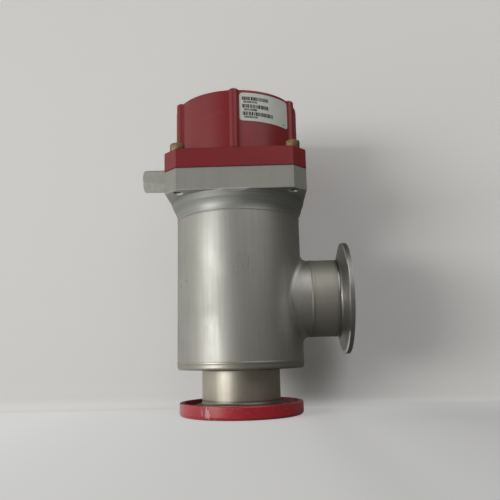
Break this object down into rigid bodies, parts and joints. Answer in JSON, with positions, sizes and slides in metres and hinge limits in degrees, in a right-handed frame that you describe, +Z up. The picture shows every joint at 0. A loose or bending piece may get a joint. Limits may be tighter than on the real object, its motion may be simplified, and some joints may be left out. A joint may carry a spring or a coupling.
{
  "type": "isolation valve",
  "caption": "Right-angle vacuum isolation valve with two clamp flange ports, opened by an air piston in a ribbed red cylinder and closed by a spring.",
  "frame": {"origin": "middle of the protective cap's flat foot, on the axis of the stem", "axes": "+Z up the stem towards the air cylinder, +X out of the side port, -X towards the air fitting, -Y towards the camera"},
  "size_m": [0.1021, 0.0672, 0.1534],
  "materials": {
    "stainless_tube": "brushed, drawn stainless tube with soft vertical streaks",
    "stainless_machined": "turned stainless, satin",
    "body_flange_metal": "matt bead blasted metal",
    "red_cast_paint": "matt red powder coat on cast metal",
    "red_cap_plastic": "glossy red moulded plastic",
    "yellow_zinc_steel": "yellow zinc plate",
    "fitting_metal": "nickel plate, satin",
    "seal_rubber": "matt black rubber",
    "bearing_bronze": "plain sintered bronze",
    "guide_plastic": "white low friction plastic",
    "piston_metal": "turned aluminium",
    "spring_steel": "drawn spring wire",
    "label_film": "pale printed film with plain bars"
  },
  "bodies": {
    "valve": {"air_fitting": "fitting_metal", "bellows": "stainless_machined", "body_flange": "body_flange_metal", "body_tube": "stainless_tube", "bonnet": "stainless_machined", "bonnet_seal": "seal_rubber", "bottom_stub": "stainless_machined", "breather": "bearing_bronze", "cap_screws": "yellow_zinc_steel", "cylinder": "red_cast_paint", "cylinder_seal": "seal_rubber", "end_plate": "stainless_machined", "fitting_gasket": "seal_rubber", "label": "label_film", "return_spring": "spring_steel", "side_stub": "stainless_machined", "stem_bushing": "bearing_bronze", "stem_seal": "seal_rubber"},
    "stem_group": {"stem": "stainless_machined", "piston": "piston_metal", "piston_seal": "seal_rubber", "guide_ring": "guide_plastic", "piston_washer": "yellow_zinc_steel", "piston_nut": "yellow_zinc_steel", "poppet": "stainless_machined", "poppet_seal": "seal_rubber", "poppet_screw": "stainless_machined"},
    "cap": {"protective_cap": "red_cap_plastic"}
  },
  "joints": [
    {"name": "stem_lift", "type": "slide", "parent": "valve", "child": "stem_group", "axis": [0, 0, 1], "range_m": [0, 0.012], "stiffness_N_per_m": 1500, "springref_m": -0.025, "deforming": ["bellows", "return_spring"]},
    {"name": "cap_pull_off", "type": "slide", "parent": "valve", "child": "cap", "axis": [0, 0, -1], "range_m": [0, 0.05]}
  ]
}
